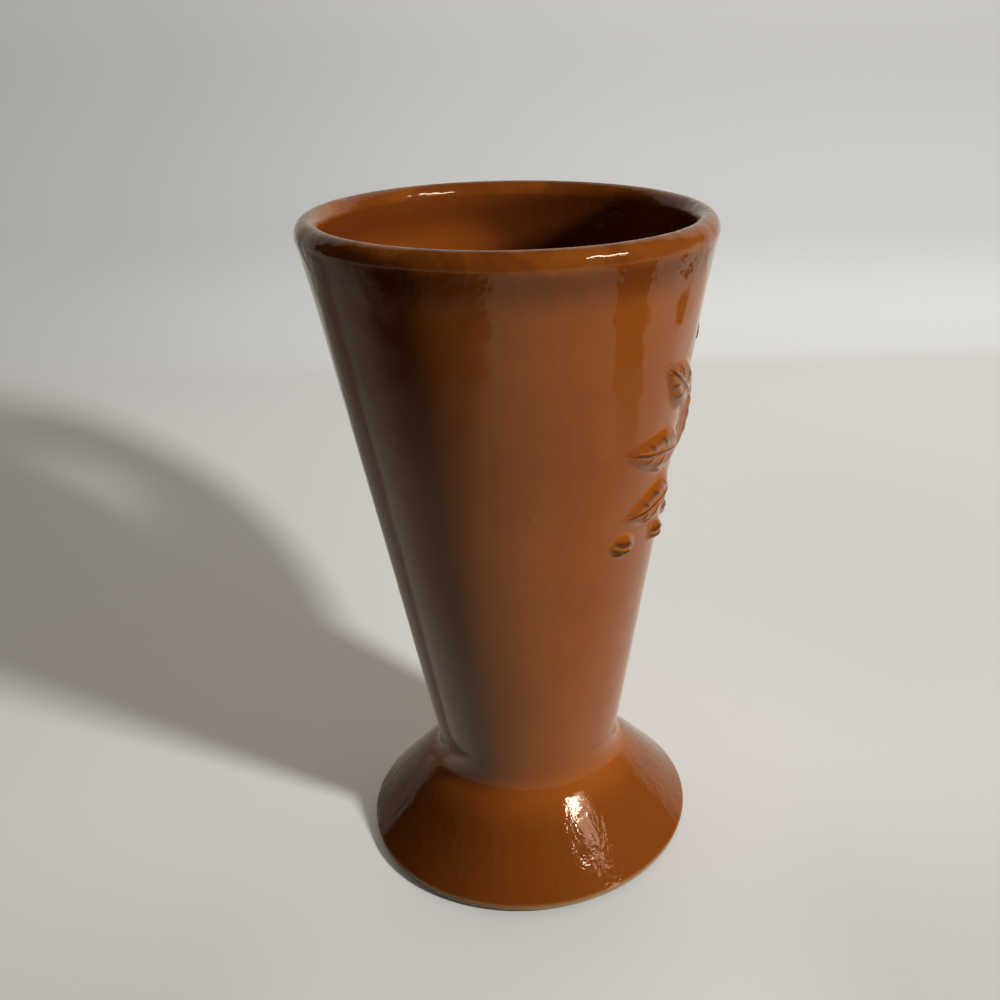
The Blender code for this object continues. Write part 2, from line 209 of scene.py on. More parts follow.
class Socket:
    """One output of a node, on which Python's operators add Math nodes."""

    def __init__(self, recipe, source):
        self.recipe, self.source = recipe, source

    def maths(self, operation, first, second):
        return self.recipe.add("ShaderNodeMath", {"operation": operation}, {0: first, 1: second})

    def __add__(self, other):
        return self.maths("ADD", self, other)

    __radd__ = __add__

    def __sub__(self, other):
        return self.maths("SUBTRACT", self, other)

    def __rsub__(self, other):
        return self.maths("SUBTRACT", other, self)

    def __mul__(self, other):
        return self.maths("MULTIPLY", self, other)

    __rmul__ = __mul__

    def __neg__(self):
        return 0.0 - self

    def __gt__(self, other):
        return self.maths("GREATER_THAN", self, other)

    def between(self, low, high):
        """0 below low, 1 above high and a smooth rise between them."""
        settings = {"interpolation_type": "SMOOTHSTEP"}
        return self.recipe.add(
            "ShaderNodeMapRange", settings, {"Value": self, "From Min": low, "From Max": high}
        )


class Recipe:
    """The nodes of one material or of the world, added to its tree one by one."""

    def __init__(self, owner):
        owner.use_nodes = True
        self.tree = owner.node_tree
        self.tree.nodes.clear()

    def add(self, kind, settings=None, sockets=None, output=0):
        """Adds a node: its settings first, then its sockets' values or links."""
        node = self.tree.nodes.new(kind)
        for key, value in (settings or {}).items():
            setattr(node, key, value)
        for key, value in (sockets or {}).items():
            if isinstance(value, Socket):
                self.tree.links.new(value.source, node.inputs[key])
            elif isinstance(value, tuple) and len(value) == 3 and node.inputs[key].type == "RGBA":
                node.inputs[key].default_value = (*value, 1.0)
            else:
                node.inputs[key].default_value = value
        return Socket(self, node.outputs[output]) if node.outputs else None

    def blend(self, share, first, second, way="MIX"):
        """A colour between two others, or both worked together another way."""
        settings = {"data_type": "RGBA", "blend_type": way}
        return self.add("ShaderNodeMix", settings, {0: share, 6: first, 7: second}, output=2)

    def vector(self, operation, first, second=(0.0, 0.0, 0.0), output=0):
        settings = {"operation": operation}
        return self.add("ShaderNodeVectorMath", settings, {0: first, 1: second}, output)

    def part(self, vector, axis):
        """One number of a vector: 0 is x, 1 is y and 2 is z."""
        return self.add("ShaderNodeSeparateXYZ", {}, {0: vector}, output=axis)

    def noise(self, place, scale, detail=2.0, roughness=0.5, distortion=0.0):
        sockets = {
            "Vector": place, "Scale": scale, "Detail": detail, "Roughness": roughness,
            "Distortion": distortion,
        }
        return self.add("ShaderNodeTexNoise", {}, sockets)

    def surface(self, shader):
        self.add("ShaderNodeOutputMaterial", {}, {"Surface": shader})


# The glaze is one batch on every piece: chestnut brown where it lies normally, redder and lighter
# where it runs thin over an edge, and nearly black-brown where it gathers. It is thicker on the
# foot, and was wiped off the ring that stands on the kiln shelf. Painted shade darkens the lip,
# the inner wall (most on its right) and the left sides of foot and wall, and a painted highlight
# runs along the foot's bottom edge.
GLAZE_THIN = (0.290, 0.078, 0.0092)
GLAZE_BODY = (0.203, 0.0470, 0.0054)
GLAZE_LIGHT = (0.258, 0.0640, 0.0080)
GLAZE_POOLED_AND_SHADE = (0.068, 0.0145, 0.0025)
EDGE_GLAZE_AND_HIGHLIGHT = (0.400, 0.240, 0.095)
GLAZE_SHEEN = (1.0, 0.90, 0.72)
GLAZE_GLOSS = 0.050
GLOSS_SPREAD = 0.03
SPECK_GLOSS = 0.12
INSIDE_GLOSS = 0.04
GLAZE_IOR = 1.42
BARE_CLAY = (0.620, 0.480, 0.340)
BARE_CLAY_DARK = (0.48, 0.34, 0.22)
CLAY_FINE = 0.5
CLAY_MOTTLED = 0.3
CLAY_ROUGHNESS = 0.75
CLAY_SHINE = 0.2

# Heights, and depths under the wall, between which the glaze changes from one zone to the next.
UNDER_WALL = (0.0030, 0.0040)
OVER_FLOOR = (0.0230, 0.0240)
OVER_FOOT = (0.0120, 0.0215)
UP_LIP = (0.1370, 0.1445)
DOWN_INSIDE = (0.1375, 0.1500)
UP_EDGE = (0.0013, 0.0024)
UP_SAGS = (0.095, 0.132)
WIPED_TOP = 0.0009
WIPED_SOFT = 0.0001
WIPED_UNEVEN = 0.0006
LIGHTER_BELOW = 0.110
LIGHTER_RATE = 5.5

# How much darker each zone is: thicker glaze on the foot, and painted shade on the lip, the inner
# wall (more to its right) and the left sides of foot and wall; then the edge highlight's share.
FOOT_DARKER = 0.46
FOOT_LEFT_PAINTED_SHADE = 0.34
FOOT_SIDE = (0.05, 0.80)
WALL_LEFT_PAINTED_SHADE = 0.20
WALL_SIDE = (0.05, 0.60)
INSIDE_PAINTED_SHADE = 0.36
INSIDE_RIGHT_PAINTED_SHADE = 1.40
INSIDE_SIDE = (-0.45, 0.60)
LIP_PAINTED_SHADE = 0.64
EDGE_HIGHLIGHT_SHARE = 0.85

# The stored depth is 0.5 where the skin is flat.
THIN_DEPTH = 0.47
THIN_FULL = 0.22
THIN_SHARE = 0.55
THIN_MOTTLED = 0.6
LIP_THINNESS = 0.55
LIP_SHARE = 0.5
LIP_BLOTCHED = 0.9
POOLED_DEPTH = 0.53
POOLED_FULL = 0.40
POOLED_SHARE = 0.85

# Clouds, mottling, blotches and specks in its colour: their scales, shares and cut-offs.
CLOUD_SCALE = 24
CLOUD_RANGE = (0.30, 0.72)
CLOUD_SHARE = 0.75
MOTTLE_SCALE = 170
MOTTLE_RANGE = (0.42, 0.75)
MOTTLE_SHARE = 0.22
BLOTCH_SCALE = 85
BLOTCH_RANGE = (0.38, 0.62)
FINE_SCALE = 900
SPECK_SCALE = 620
SPECK_RARITY = 0.992
SPECK_EDGE = (0.16, 0.34)
SPECK_SHARE = 0.4

# Waves, sags near the lip, orange peel, runs down the foot and dabs on the lip: scales and heights.
WAVE_SCALE = 62
WAVE_HEIGHT = 0.00015
SAG_HEIGHT = 0.00045
PEEL_SCALE = 560
PEEL_HEIGHT = 0.000003
RUN_HEIGHT = 0.00024
RUN_ROUND = 9.0
RUN_UP = 250.0
DAB_SCALE = 210
DAB_HEIGHT = 0.00030
GRIT_HEIGHT = 0.00005


def glazed(name):
    """Brown gloss glaze over pale clay."""
    material = bpy.data.materials.new(name)
    recipe = Recipe(material)
    place = recipe.add("ShaderNodeTexCoord", {}, {}, output=3)
    height_above = recipe.part(place, 2)
    outward = recipe.vector("SUBTRACT", place, (0.0, AXIS_Y, 0.0))
    outward = recipe.vector("MULTIPLY", outward, (1.0, 1.0, 0.0))
    around = recipe.vector("NORMALIZE", outward)
    rightward = recipe.part(around, 0)
    leftward = -rightward
    depth = recipe.add("ShaderNodeAttribute", {"attribute_name": "glaze_depth"}, {}, output=2)
    cloud = recipe.noise(place, CLOUD_SCALE, 3.0, 0.55)
    mottle = recipe.noise(place, MOTTLE_SCALE, 3.0, 0.6)
    blotch = recipe.noise(place, BLOTCH_SCALE, 3.0, 0.55, 0.6).between(*BLOTCH_RANGE)
    fine = recipe.noise(place, FINE_SCALE, 2.0, 0.6)

    under_wall = height_above * WALL_SLOPE + (WAIST_RADIUS - FOOT_HEIGHT * WALL_SLOPE)
    under_wall = under_wall - recipe.vector("LENGTH", outward, output=1)
    inside = under_wall.between(*UNDER_WALL) * height_above.between(*OVER_FLOOR)
    down_inside = inside * (1 - height_above.between(*DOWN_INSIDE))
    on_foot = 1 - height_above.between(*OVER_FOOT)
    on_lip = height_above.between(*UP_LIP)
    on_wall = (1 - on_foot) * (1 - inside) * (1 - on_lip)

    lighter = cloud.between(*CLOUD_RANGE) * CLOUD_SHARE
    # The body colour turns lighter down the wall, below a set height.
    lighter = lighter + (LIGHTER_BELOW - height_above) * LIGHTER_RATE
    colour = recipe.blend(lighter, GLAZE_BODY, GLAZE_LIGHT)
    colour = recipe.blend(mottle.between(*MOTTLE_RANGE) * MOTTLE_SHARE, colour, GLAZE_THIN)
    # Thicker glaze on the foot, plus painted shade on the left sides of foot and wall.
    thick_glaze_and_shade = on_foot * (leftward.between(*FOOT_SIDE) * FOOT_LEFT_PAINTED_SHADE + FOOT_DARKER)
    thick_glaze_and_shade = thick_glaze_and_shade + on_wall * leftward.between(*WALL_SIDE) * WALL_LEFT_PAINTED_SHADE
    # Painted shade: the inner wall is darker, more so towards its right side.
    inside_painted_shade = rightward.between(*INSIDE_SIDE) * INSIDE_RIGHT_PAINTED_SHADE + INSIDE_PAINTED_SHADE
    # Painted shade on the lip as well, where the lamp falls on its top.
    thick_glaze_and_shade = thick_glaze_and_shade + down_inside * inside_painted_shade + on_lip * LIP_PAINTED_SHADE
    colour = recipe.blend(thick_glaze_and_shade, colour, GLAZE_POOLED_AND_SHADE)
    thin = (THIN_DEPTH - depth).between(0.0, THIN_FULL) * (mottle * THIN_MOTTLED + THIN_SHARE)
    thin_on_lip = (blotch * LIP_BLOTCHED + LIP_SHARE) * LIP_THINNESS
    thin = thin * (1 - on_lip * (1 - thin_on_lip))
    colour = recipe.blend(thin, colour, GLAZE_THIN)
    pooled = (depth - POOLED_DEPTH).between(0.0, POOLED_FULL) * POOLED_SHARE
    colour = recipe.blend(pooled, colour, GLAZE_POOLED_AND_SHADE)
    # Painted highlight along the foot's bottom edge, partly glaze that thins there.
    colour = recipe.blend((1 - height_above.between(*UP_EDGE)) * EDGE_HIGHLIGHT_SHARE, colour, EDGE_GLAZE_AND_HIGHLIGHT)
    cells = {"Vector": place, "Scale": SPECK_SCALE}
    specks = recipe.add("ShaderNodeTexVoronoi", {"feature": "F1"}, cells)
    lot = recipe.add("ShaderNodeTexVoronoi", {"feature": "F1"}, cells, output=1)
    picked = recipe.add("ShaderNodeSeparateColor", {}, {0: lot}) > SPECK_RARITY
    spots = (1 - specks.between(*SPECK_EDGE)) * picked
    colour = recipe.blend(spots * SPECK_SHARE, colour, GLAZE_POOLED_AND_SHADE)

    down_foot = recipe.vector(
        "ADD",
        recipe.vector("MULTIPLY", around, (RUN_ROUND, RUN_ROUND, 0.0)),
        recipe.vector("MULTIPLY", place, (0.0, 0.0, RUN_UP)),
    )
    waves = recipe.noise(place, WAVE_SCALE, 2.0, 0.45, 0.3)
    peel = recipe.noise(place, PEEL_SCALE, 2.0, 0.5)
    runs = recipe.noise(down_foot, 1.0, 3.0, 0.5, 0.5)
    dabs = recipe.noise(place, DAB_SCALE, 2.0, 0.5)
    height = waves * (height_above.between(*UP_SAGS) * SAG_HEIGHT + WAVE_HEIGHT)
    height = height + peel * PEEL_HEIGHT + runs * on_foot * RUN_HEIGHT + dabs * on_lip * DAB_HEIGHT
    bump = recipe.add("ShaderNodeBump", {}, {"Height": height, "Distance": 1.0, "Strength": 1.0})
    roughness = GLAZE_GLOSS + fine * GLOSS_SPREAD + spots * SPECK_GLOSS + inside * INSIDE_GLOSS
    coated = recipe.add("ShaderNodeBsdfPrincipled", {}, {
        "Base Color": colour, "Roughness": roughness, "IOR": GLAZE_IOR,
        "Specular Tint": GLAZE_SHEEN, "Normal": bump,
    })
    clay_dark = fine * CLAY_FINE + mottle * CLAY_MOTTLED
    grit = {"Height": fine, "Distance": GRIT_HEIGHT, "Strength": 0.5}
    clay = recipe.add("ShaderNodeBsdfPrincipled", {}, {
        "Base Color": recipe.blend(clay_dark, BARE_CLAY, BARE_CLAY_DARK),
        "Roughness": CLAY_ROUGHNESS, "Specular IOR Level": CLAY_SHINE,
        "Normal": recipe.add("ShaderNodeBump", {}, grit),
    })
    wiped = height_above + (mottle - 0.5) * WIPED_UNEVEN
    wiped = 1 - wiped.between(WIPED_TOP - WIPED_SOFT, WIPED_TOP + WIPED_SOFT)
    recipe.surface(recipe.add("ShaderNodeMixShader", {}, {0: wiped, 1: coated, 2: clay}))
    return material


inner_floor_z = CUP_BOTTOM_Z + FLOOR_THICKNESS
lip_centre = (RIM_RADIUS - LIP_THICKNESS / 2, MUG_HEIGHT - LIP_ROLL_HEIGHT / 2)
lip_roll = (LIP_THICKNESS / 2, LIP_ROLL_HEIGHT / 2)
lip_end = arc(lip_centre, lip_roll, 0, LIP_UNDERCUT, 6)[-1]
inner_corner = (wall_radius(inner_floor_z) - WALL_THICKNESS, inner_floor_z)
inner_corner_start = (inner_corner[0] - FLOOR_CORNER, inner_floor_z)
inner_corner_top = (
    wall_radius(inner_floor_z + FLOOR_CORNER) - WALL_THICKNESS, inner_floor_z + FLOOR_CORNER
)
neck_corner_z = lip_end.y - NECK_DROP
neck_low_z = wall_top_z - LIP_NECK
neck_low = (wall_radius(neck_low_z), neck_low_z)
wall_low = (wall_radius(COLLAR_TOP_Z), COLLAR_TOP_Z)
spigot_radius = wall_low[0] - SPIGOT_INSET

cup_profile = [Vector((0.0, inner_floor_z))]
cup_profile += straight((FLOOR_CENTRE, inner_floor_z), inner_corner_start, 8)
cup_profile += fillet(inner_corner_start, inner_corner, inner_corner_top, 14)
cup_profile += straight(inner_corner_top, (lip_centre[0] - lip_roll[0], lip_centre[1]), 56)[1:]
cup_profile += arc(lip_centre, lip_roll, 180, LIP_UNDERCUT, 34)
cup_profile += fillet(lip_end, (wall_radius(neck_corner_z), neck_corner_z), neck_low, 16)[1:]
cup_profile += straight(neck_low, wall_low, 72)[1:]
cup_profile += [Vector(wall_low), Vector((spigot_radius, COLLAR_TOP_Z))]
cup_profile += [Vector((spigot_radius, CUP_BOTTOM_Z)), Vector((0.0, CUP_BOTTOM_Z))]
fired(
    "cup_cone", skin(turned_rings(cup_profile[::-1])), glazed("cup_brown_glaze"), "cup_body",
)


# ---------------------------------------------------------------------------------------------
# Waist ring
# A ring of slip closes the joint between cup and foot. It is sponged smooth, so cone and foot
# flow into each other, and the glaze lies a little deeper in its hollow.
# ---------------------------------------------------------------------------------------------
collar_low, collar_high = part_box("waist_collar")
foot_low, foot_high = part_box("pedestal_foot")
FOOT_RADIUS = (foot_high.x - foot_low.x) / 2
COLLAR_RADIUS = (collar_high.x - collar_low.x) / 2
FOOT_EDGE_HEIGHT = 0.0019
FOOT_SLOPE = (FOOT_EDGE_HEIGHT - FOOT_HEIGHT) / (FOOT_RADIUS - WAIST_RADIUS)
WAIST_TIGHT = 0.78
SPIGOT_GAP = 0.0003


def foot_z(radius):
    """Height of the foot's flared top at a radius."""
    return FOOT_HEIGHT + (radius - WAIST_RADIUS) * FOOT_SLOPE


collar_bore = spigot_radius + SPIGOT_GAP
collar_edge = (COLLAR_RADIUS, foot_z(COLLAR_RADIUS))
collar_profile = fillet(wall_low, (WAIST_RADIUS, FOOT_HEIGHT), collar_edge, 24, WAIST_TIGHT)
collar_profile += [Vector((COLLAR_RADIUS, collar_low.z)), Vector((collar_bore, collar_low.z))]
collar_profile += [Vector((collar_bore, COLLAR_TOP_Z))]
fired(
    "waist_ring", skin(turned_rings(collar_profile), joined=True), glazed("waist_brown_glaze"),
    "waist_collar", sharp=30
)


# ---------------------------------------------------------------------------------------------
# Foot
# A low, flared cone of the same earthenware, hollow underneath. The glaze ran down it before
# firing, so it is rippled, and the ring it stands on was wiped bare to keep it off the kiln shelf.
# ---------------------------------------------------------------------------------------------
FOOT_EDGE_INSET = 0.0015
FOOT_RING_WIDTH = 0.0052
SEAT_UNDER_COLLAR = 0.0013
SEAM_TUCK = 0.0003
RECESS_DEPTH_UNDER_SEAT = 0.0052
RECESS_SLANT = 0.0105
RECESS_CORNER = 0.0055

foot_edge = (FOOT_RADIUS, FOOT_EDGE_HEIGHT)
foot_ring_outer = FOOT_RADIUS - FOOT_EDGE_INSET
foot_ring_inner = foot_ring_outer - FOOT_RING_WIDTH
foot_seat_radius = COLLAR_RADIUS - SEAM_TUCK
foot_seat_z = foot_z(COLLAR_RADIUS) - SEAT_UNDER_COLLAR
recess_z = foot_seat_z - RECESS_DEPTH_UNDER_SEAT
recess_corner = foot_ring_inner - RECESS_SLANT

foot_profile = [Vector((0.0, foot_seat_z)), Vector((foot_seat_radius, foot_seat_z))]
foot_profile += straight((foot_seat_radius, foot_z(foot_seat_radius)), foot_edge, 26)
foot_profile += fillet(foot_edge, (FOOT_RADIUS, 0.0), (foot_ring_outer, 0.0), 10)
foot_profile += straight((foot_ring_outer, 0.0), (foot_ring_inner, 0.0), 6)[1:]
foot_profile += fillet(
    (foot_ring_inner, 0.0), (recess_corner, recess_z), (recess_corner - RECESS_CORNER, recess_z), 24
)
foot_profile.append(Vector((0.0, recess_z)))
fired(
    "flared_foot", skin(turned_rings(foot_profile)), glazed("foot_brown_glaze"), "pedestal_foot",
    sharp=30
)


# ---------------------------------------------------------------------------------------------
# Handle
# A cast ear of flattened round section, stuck on with slip while both were leather-hard. Each end
# swells a little, and the slip is drawn out into a soft flare over the wall.
# ---------------------------------------------------------------------------------------------
HANDLE_WIDTH = 0.0214
HANDLE_THICKNESS = 0.0124
HANDLE_SWELL = 1.24
HANDLE_TOP_Z = 0.1140
HANDLE_CROWN_Z = 0.0938
HANDLE_BOTTOM_Z = 0.0555
TOP_SWEEP = 0.0435
TOP_RISE = 0.0098
CROWN_LIFT = 0.0225
CROWN_DROP = 0.0180
TAIL_SWEEP = 0.0220
HANDLE_BURY = 0.0120
HANDLE_INSET = 0.00006
HANDLE_SECTION_POWER = 2.25
HANDLE_SECTION_POINTS = 72
HANDLE_RINGS = 120
TOP_SEARCH = (0.0, 0.7)
LOW_SEARCH = (2.0, 1.3)
SEARCH_HALVINGS = 30
SLIP_RUN = 0.0042
SLIP_FLARE = 0.0034
SLIP_STEPS = 12
SLIP_SUNK = 0.0003
SLIP_CORE = 0.003

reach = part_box("handle")[1].y - AXIS_Y - HANDLE_INSET
top_root = Vector((wall_radius(HANDLE_TOP_Z) - HANDLE_BURY, HANDLE_TOP_Z))
crown = Vector((reach - HANDLE_THICKNESS / 2, HANDLE_CROWN_Z))
low_root = Vector((wall_radius(HANDLE_BOTTOM_Z) - HANDLE_BURY, HANDLE_BOTTOM_Z))
handle_runs = (
    (
        top_root, top_root + Vector((TOP_SWEEP, TOP_RISE)),
        crown + Vector((0.0, CROWN_LIFT)), crown,
    ),
    (
        crown, crown - Vector((0.0, CROWN_DROP)),
        low_root + Vector((TAIL_SWEEP, 0.0)), low_root,
    ),
)


def handle_centre(t):
    """Place and direction (outwards, up) on the centre line: 0 top root, 1 crown, 2 low root."""
    run = min(int(t), 1)
    s = t - run
    a, b, c, d = handle_runs[run]
    heading = (1 - s) ** 2 * (b - a) + 2 * s * (1 - s) * (c - b) + s * s * (d - c)
    return bezier(a, b, c, d, s), heading.normalized()


def squared_off(share):
    """A cosine or sine pushed outwards, which flattens a round section's sides."""
    return copysign(abs(share) ** (2 / HANDLE_SECTION_POWER), share)


def handle_point(t, angle, inset=0.0):
    """Point on the ear's skin, or a little inside it, at a place along it and an angle round it."""
    place, heading = handle_centre(t)
    swell = 1 + (HANDLE_SWELL - 1) * abs(t - 1)
    wide = (HANDLE_WIDTH / 2 * swell - inset) * squared_off(cos(angle))
    thick = (HANDLE_THICKNESS / 2 * swell - inset) * squared_off(sin(angle))
    outwards, up = place.x - heading.y * thick, place.y + heading.x * thick
    return Vector((wide, AXIS_Y + outwards, up))


def off_wall(point):
    """Distance of a point from the cone's outer wall, positive outside."""
    return (hypot(point.x, point.y - AXIS_Y) - wall_radius(point.z)) * cos(WALL_ANGLE)


def meets_wall(angle, distance, inside, outside, inset=0.0):
    """Place along the ear where its skin at an angle stands a distance off the wall."""
    for _ in range(SEARCH_HALVINGS):
        middle = (inside + outside) / 2
        if off_wall(handle_point(middle, angle, inset)) < distance:
            inside = middle
        else:
            outside = middle
    return (inside + outside) / 2


section_angles = [2 * pi * i / HANDLE_SECTION_POINTS for i in range(HANDLE_SECTION_POINTS)]
ear_starts = [meets_wall(a, SLIP_SUNK, *TOP_SEARCH) for a in section_angles]
ear_ends = [meets_wall(a, SLIP_SUNK, *LOW_SEARCH) for a in section_angles]
ear_rings = []
for k in range(HANDLE_RINGS + 1):
    share = k / HANDLE_RINGS
    ear_rings.append([
        handle_point(first + (last - first) * share, a)
        for a, first, last in zip(section_angles, ear_starts, ear_ends)
    ])
ear_caps = [sum(ring, Vector()) / HANDLE_SECTION_POINTS for ring in (ear_rings[0], ear_rings[-1])]
ear_rings = [[ear_caps[0]]] + ear_rings + [[ear_caps[1]]]
fired("ear_handle", skin(ear_rings), glazed("handle_brown_glaze"), "handle")


def onto_wall(point, distance):
    """The point moved straight onto the wall, or a distance off it."""
    away = Vector((point.x, point.y - AXIS_Y, 0.0)).normalized()
    normal = (away * cos(WALL_ANGLE) - Vector((0.0, 0.0, sin(WALL_ANGLE)))).normalized()
    return point + normal * (distance - off_wall(point))


def slip_flare(name, inside, outside, node):
    """The flare of slip round one end of the ear: from its skin, down to and out over the wall."""
    lines = []
    for angle in section_angles:
        above = handle_point(meets_wall(angle, SLIP_RUN, inside, outside), angle)
        touch = onto_wall(handle_point(meets_wall(angle, 0.0, inside, outside), angle), 0.0)
        core = meets_wall(angle, 0.0, inside, outside, SLIP_CORE)
        core = handle_point(core, angle, SLIP_CORE)
        end = onto_wall(touch + (touch - onto_wall(core, 0.0)).normalized() * SLIP_FLARE, 0.0)
        line = []
        for i in range(SLIP_STEPS + 1):
            share = i / SLIP_STEPS
            line.append(above.lerp(touch, share).lerp(touch.lerp(end, share), share))
        line += [onto_wall(end, -SLIP_SUNK), onto_wall(core, -SLIP_SUNK)]
        sunk = meets_wall(angle, SLIP_RUN, inside, outside, SLIP_SUNK)
        line.append(handle_point(sunk, angle, SLIP_SUNK))
        lines.append(line)
    rings = [[line[i] for line in lines] for i in range(len(lines[0]))]
    if outside < inside:
        rings = [ring[::-1] for ring in rings]
    fired(name, skin(rings, joined=True), glazed(name + "_glaze"), node)


slip_flare("handle_top_flare", *TOP_SEARCH, "handle_top_slip")
slip_flare("handle_bottom_flare", *LOW_SEARCH, "handle_bottom_slip")


# ---------------------------------------------------------------------------------------------
# Raised decoration
# Cocoa leaves, a ridged pod on its stalk and a row of beans. Each was pressed in a mould, stuck to
# the wall with slip, and has soft edges where the glaze ran off it and gathered round it.
# ---------------------------------------------------------------------------------------------
RELIEF_CENTRE_Z = 0.1040
SPRIG_BACK = 0.0005
SPRIG_LIP = 0.00002
RING_CROWDING = 1.35
LEAF_SIZE = (0.0112, 0.0016)
LEAF_VEINS = 5
LEAF_RUNS = {
    "upper": ((0.0088, 0.0080), (0.0275, 0.0205)),
    "middle": ((0.0098, -0.0010), (0.0345, 0.0030)),
    "lower": ((0.0090, -0.0098), (0.0300, -0.0132)),
}
POD_SIZE = (0.0280, 0.0150, 0.0022)
POD_RISE = 0.0020
STALK_SIZE = (0.0080, 0.0032, 0.0016)
STALK_GAP = 0.0007
STALK_TILT = radians(66)
BEAN_SIZE = (0.0092, 0.0062, 0.0017)
BEAN_COUNT = 5
BEAN_PITCH = 0.0138
BEAN_ROW_DROP = 0.0212
BEAN_ROW_SAG = 0.0020
BEAN_TILT = radians(24)
relief_glaze = glazed("relief_brown_glaze")


def on_relief(across, up, height):
    """Point over the wall, for a place measured round and up the wall from the relief's centre."""
    z = RELIEF_CENTRE_Z + up * cos(WALL_ANGLE)
    angle = across / wall_radius(z)
    radius = wall_radius(z) + height * cos(WALL_ANGLE)
    return Vector((
        radius * cos(angle), AXIS_Y + radius * sin(angle), z - height * sin(WALL_ANGLE)
    ))


def soft_step(value, width):
    """0 at 0, 1 from width on, with a smooth rise."""
    share = min(max(value / width, 0.0), 1.0)
    return share * share * (3 - 2 * share)


def bell(offset, width):
    """1 at 0 and nearly 0 from twice the width on, for ribs, veins and creases."""
    return exp(-((offset / width) ** 2))


def pressed(name, node, middle, size, tilt, shape, points=120, rings=44):
    """A pressed sprig; shape(along, aside, edge) gives its width's and its height's share."""
    length, width, height = size
    lines = []
    for k in range(rings + 1):
        out = 1 - (1 - k / rings) ** RING_CROWDING
        ring = []
        for i in range(points if k else 1):
            along, aside = out * cos(2 * pi * i / points), out * sin(2 * pi * i / points)
            spread, lift = shape(along, aside, 1 - out)
            x, y = along * length / 2, aside * width / 2 * spread
            across = middle[0] + x * cos(tilt) - y * sin(tilt)
            up = middle[1] + x * sin(tilt) + y * cos(tilt)
            ring.append((across, up, height * lift + SPRIG_LIP))
        lines.append([on_relief(*place) for place in ring])
    lines.append([on_relief(across, up, -SPRIG_BACK) for across, up, _ in ring])
    lines.append([on_relief(*middle, -SPRIG_BACK)])
    fired(name, skin(lines), relief_glaze, node)


def leaf_form(along, aside, edge):
    """Pointed leaf with a raised midrib in a shallow valley and side veins that run to its tip."""
    spread = (1 - 0.35 * along) * (1 - 0.45 * along * along)
    rib = 0.34 * bell(aside, 0.10) * soft_step(1 - along, 0.5)
    valley = 0.30 * bell(aside, 0.34)
    phase = (along + 1) * LEAF_VEINS / 2 - abs(aside) * 1.3
    vein = bell(phase - round(phase), 0.15) * soft_step(abs(aside), 0.20) * 0.12
    return spread, soft_step(edge, 0.62) * (0.90 - valley + rib + vein)


def pod_form(along, aside, edge):
    """Fullest above its middle, with ridges from end to end that are beaded like a ripe pod's."""
    ridges = 0.13 * abs(cos(2.5 * pi * aside)) ** 0.8
    beads = 0.035 * cos(along * 26 + 3 * cos(5 * aside)) * soft_step(edge, 0.3)
    bulge = 1 - 0.22 * aside * aside
    return 1 + 0.18 * along, soft_step(edge, 0.70) * (0.86 + ridges + beads) * bulge


def stalk_form(along, aside, edge):
    """A short stub, thicker and ringed at its cut end."""
    ring = 0.14 * bell(along - 0.62, 0.12)
    return 1 + 0.25 * along, soft_step(edge, 0.55) * (0.86 + ring)


def bean_form(along, aside, edge):
    """A plump oval with a crease along its middle."""
    crease = 0.42 * bell(aside - 0.10 * sin(3 * along), 0.17) * (1 - along ** 4)
    return 1.0, soft_step(edge, 0.80) * (1 - 0.7 * crease)


for side_name, side in (("left", -1), ("right", 1)):
    for row, (base, tip) in LEAF_RUNS.items():
        start, end = Vector((side * base[0], base[1])), Vector((side * tip[0], tip[1]))
        run = end - start
        pressed(
            f"cocoa_leaf_{side_name}_{row}", f"leaf_relief_{side_name}_{row}", (start + end) / 2,
            (run.length, *LEAF_SIZE), atan2(run.y, run.x), leaf_form
        )
pressed("cocoa_pod", "pod_relief", (0.0, POD_RISE), POD_SIZE, pi / 2, pod_form, 160, 56)
stalk_foot = POD_RISE + POD_SIZE[0] / 2 + STALK_GAP
stalk_middle = (
    STALK_SIZE[0] / 2 * cos(STALK_TILT), stalk_foot + STALK_SIZE[0] / 2 * sin(STALK_TILT)
)
pressed("pod_stalk", "stalk_relief", stalk_middle, STALK_SIZE, STALK_TILT, stalk_form, 64, 24)
bean_half = (BEAN_COUNT - 1) / 2
for i in range(BEAN_COUNT):
    place = (i - bean_half) / bean_half
    bean_middle = (
        place * bean_half * BEAN_PITCH, -BEAN_ROW_DROP + BEAN_ROW_SAG * place * place
    )
    pressed(
        f"cocoa_bean_{i + 1}", f"bean_relief_{i + 1}", bean_middle, BEAN_SIZE, BEAN_TILT * place,
        bean_form, 80, 30
    )


# ---------------------------------------------------------------------------------------------
# Floor and backdrop
# One sweep of matt, pale paper: flat under the mug and curved up far behind it. Light and shade are
# painted into its tone: lighter further back, palest in a band where it starts to rise, darker to
# the left, near the right and at the top. The glaze mirrors it a little warmer, a painted
# reflection tint. It gives the mug no other light.
# ---------------------------------------------------------------------------------------------
PAPER_NEAR = (0.575, 0.570, 0.545)
PAPER_MIDDLE = (0.702, 0.710, 0.692)
PAPER_LIT_BAND = (0.785, 0.795, 0.780)
PAPER_RISE = (0.618, 0.618, 0.603)
PAPER_TOP_SHADE = (0.520, 0.508, 0.490)
PAPER_LEFT_SHADE = (0.250, 0.250, 0.245)
PAPER_RIGHT_SHADE = (0.440, 0.436, 0.424)
PAPER_FIBRE = (0.55, 0.54, 0.51)
PAPER_MIRRORED = (1.09, 1.04, 0.96)
PAPER_ROUGHNESS = 0.85
PAPER_SHINE = 0.1

